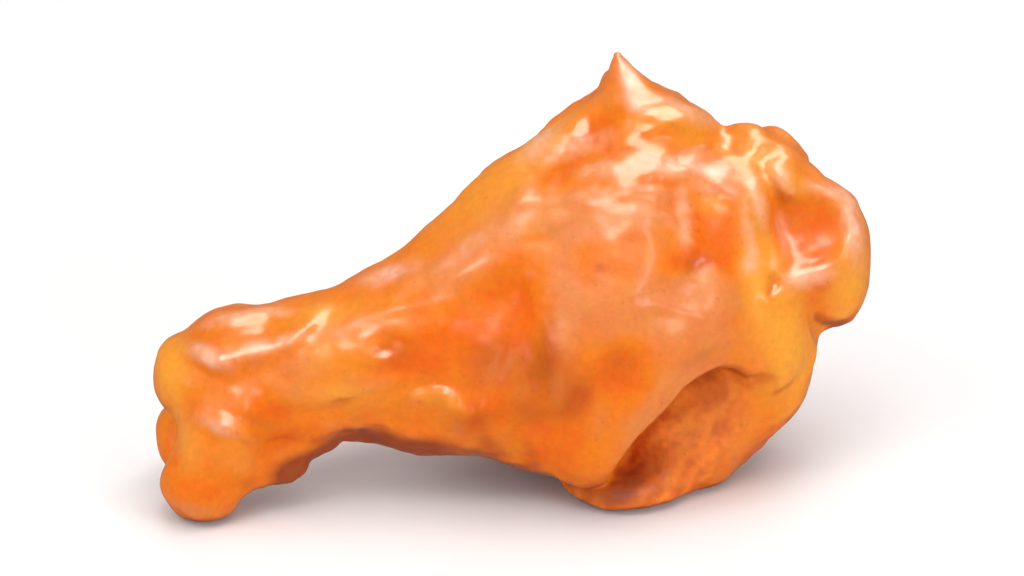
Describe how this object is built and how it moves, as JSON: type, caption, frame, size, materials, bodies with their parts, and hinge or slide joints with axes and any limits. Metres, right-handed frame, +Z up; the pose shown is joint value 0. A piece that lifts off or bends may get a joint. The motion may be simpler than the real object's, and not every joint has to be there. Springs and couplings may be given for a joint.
{
  "type": "sauced chicken wing drumette",
  "caption": "Cooked chicken wing drumette in a glossy orange hot sauce, lying on its side: knuckle end, thick meat end, folded skin and an ear of skin.",
  "frame": {"origin": "middle of the bounding box's bottom face, on the surface the wing lies on", "axes": "+X from the knuckle end to the meat end, +Y from the broad front face to the back, +Z up"},
  "size_m": [0.0875, 0.0417, 0.0517],
  "materials": {
    "drumette": "wet glossy hot sauce over cooked skin, deeper orange in the hollows and paler on the ridges"
  },
  "bodies": {
    "root": {"drumette": "drumette"}
  },
  "joints": []
}
